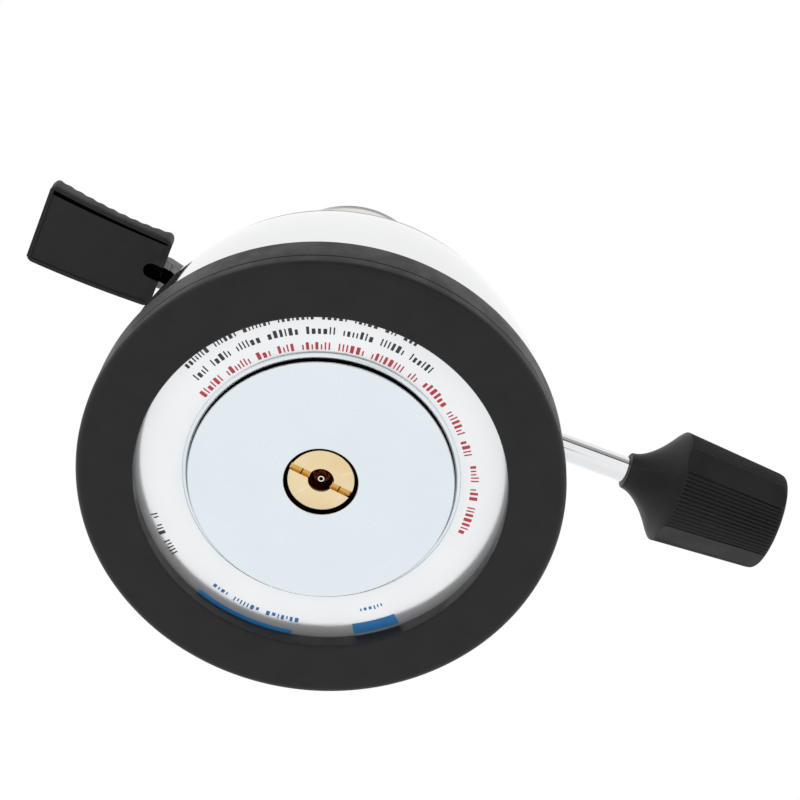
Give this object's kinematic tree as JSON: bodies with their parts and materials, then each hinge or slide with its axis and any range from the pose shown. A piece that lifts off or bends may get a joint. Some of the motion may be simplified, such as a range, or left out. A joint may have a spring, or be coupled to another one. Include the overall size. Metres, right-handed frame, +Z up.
{
  "type": "table-top butane burner",
  "caption": "Low round gas burner for a siphon coffee maker: polished tank shell on a rubber base ring, side flame knob, press-down ignition lever and a burner head on top.",
  "frame": {"origin": "centre of the base ring's flat underside, on the table", "axes": "+Z up along the tank's axis, +X along the valve shaft towards the flame knob, -X along the ignition lever"},
  "size_m": [0.1579, 0.0896, 0.09],
  "materials": {
    "black_rubber": "smooth satin moulded rubber",
    "polished_steel": "mirror polished stainless sheet",
    "tank_steel": "drawn steel, welded seams",
    "plated_steel": "satin plated steel, bluish white with fine turning marks",
    "label_foil": null,
    "pale_brass": "bright turned brass",
    "machined_brass": "turned and milled brass",
    "seal_rubber": "black nitrile rubber",
    "spring_steel": "drawn spring wire",
    "tube_nylon": "natural nylon",
    "filter_felt": "pressed felt",
    "zinc_steel": "zinc plated steel",
    "chromed_shaft": "bright chromed steel rod",
    "black_plastic": "satin black moulded plastic",
    "bush_nylon": "black nylon",
    "dark_steel": "oiled pressed steel",
    "burner_steel": "satin stainless steel, lightly heat tinted",
    "screen_steel": "perforated heat-resisting steel, heat tinted",
    "case_plastic": "white moulded plastic",
    "lead_silicone": "red silicone insulation",
    "white_ceramic": "unglazed white ceramic",
    "electrode_wire": "heat-resisting steel wire"
  },
  "bodies": {
    "burner": {"base_ring": "black_rubber", "body_shell": "polished_steel", "tank_cup": "tank_steel", "base_plate": "plated_steel", "base_label": "label_foil", "filling_valve": "pale_brass", "filling_valve_ring": "seal_rubber", "filling_spring": "spring_steel", "valve_block": "machined_brass", "valve_gasket": "seal_rubber", "takeoff_tube": "tube_nylon", "takeoff_filter": "filter_felt", "lock_nut": "zinc_steel", "gland_nut": "machined_brass", "shaft_bush": "bush_nylon", "gas_jet": "machined_brass", "mixing_tube": "burner_steel", "burner_bowl": "burner_steel", "burner_screen": "screen_steel", "wind_ring": "burner_steel", "upper_housing": "polished_steel", "housing_screws": "zinc_steel", "lever_bracket": "zinc_steel", "pivot_pin": "zinc_steel", "piezo_case": "case_plastic", "piezo_spring": "spring_steel", "ignition_lead": "lead_silicone", "electrode_insulator": "white_ceramic", "electrode_pin": "electrode_wire"},
    "flame_knob": {"needle_shaft": "chromed_shaft", "shaft_o_ring": "seal_rubber", "knob": "black_plastic", "knob_set_screw": "dark_steel"},
    "ignition_lever": {"lever_arm": "dark_steel", "lever_pad": "black_plastic"},
    "piezo_button": {"piezo_plunger": "bush_nylon"},
    "filling_stem": {"filling_stem": "pale_brass"}
  },
  "joints": [
    {"name": "flame_turn", "type": "hinge", "parent": "burner", "child": "flame_knob", "pos_m": [0.045, 0, 0.05], "axis": [1, 0, 0], "range_deg": [0, 300]},
    {"name": "lever_press", "type": "hinge", "parent": "burner", "child": "ignition_lever", "pos_m": [-0.01, 0, 0.0568], "axis": [0, -1, 0], "range_deg": [0, 16], "stiffness_Nm_per_rad": 1.2},
    {"name": "piezo_push", "type": "slide", "parent": "burner", "child": "piezo_button", "axis": [0, 0, -1], "range_m": [0, 0.0032], "deforming": ["piezo_spring"]},
    {"name": "filling_press", "type": "slide", "parent": "burner", "child": "filling_stem", "axis": [0, 0, 1], "range_m": [0, 0.0012], "stiffness_N_per_m": 800, "springref_m": -0.001, "deforming": ["filling_spring"]}
  ],
  "couplings": [
    {"joint": "piezo_push", "follows": "lever_press", "m_per_rad": 0.0114}
  ]
}
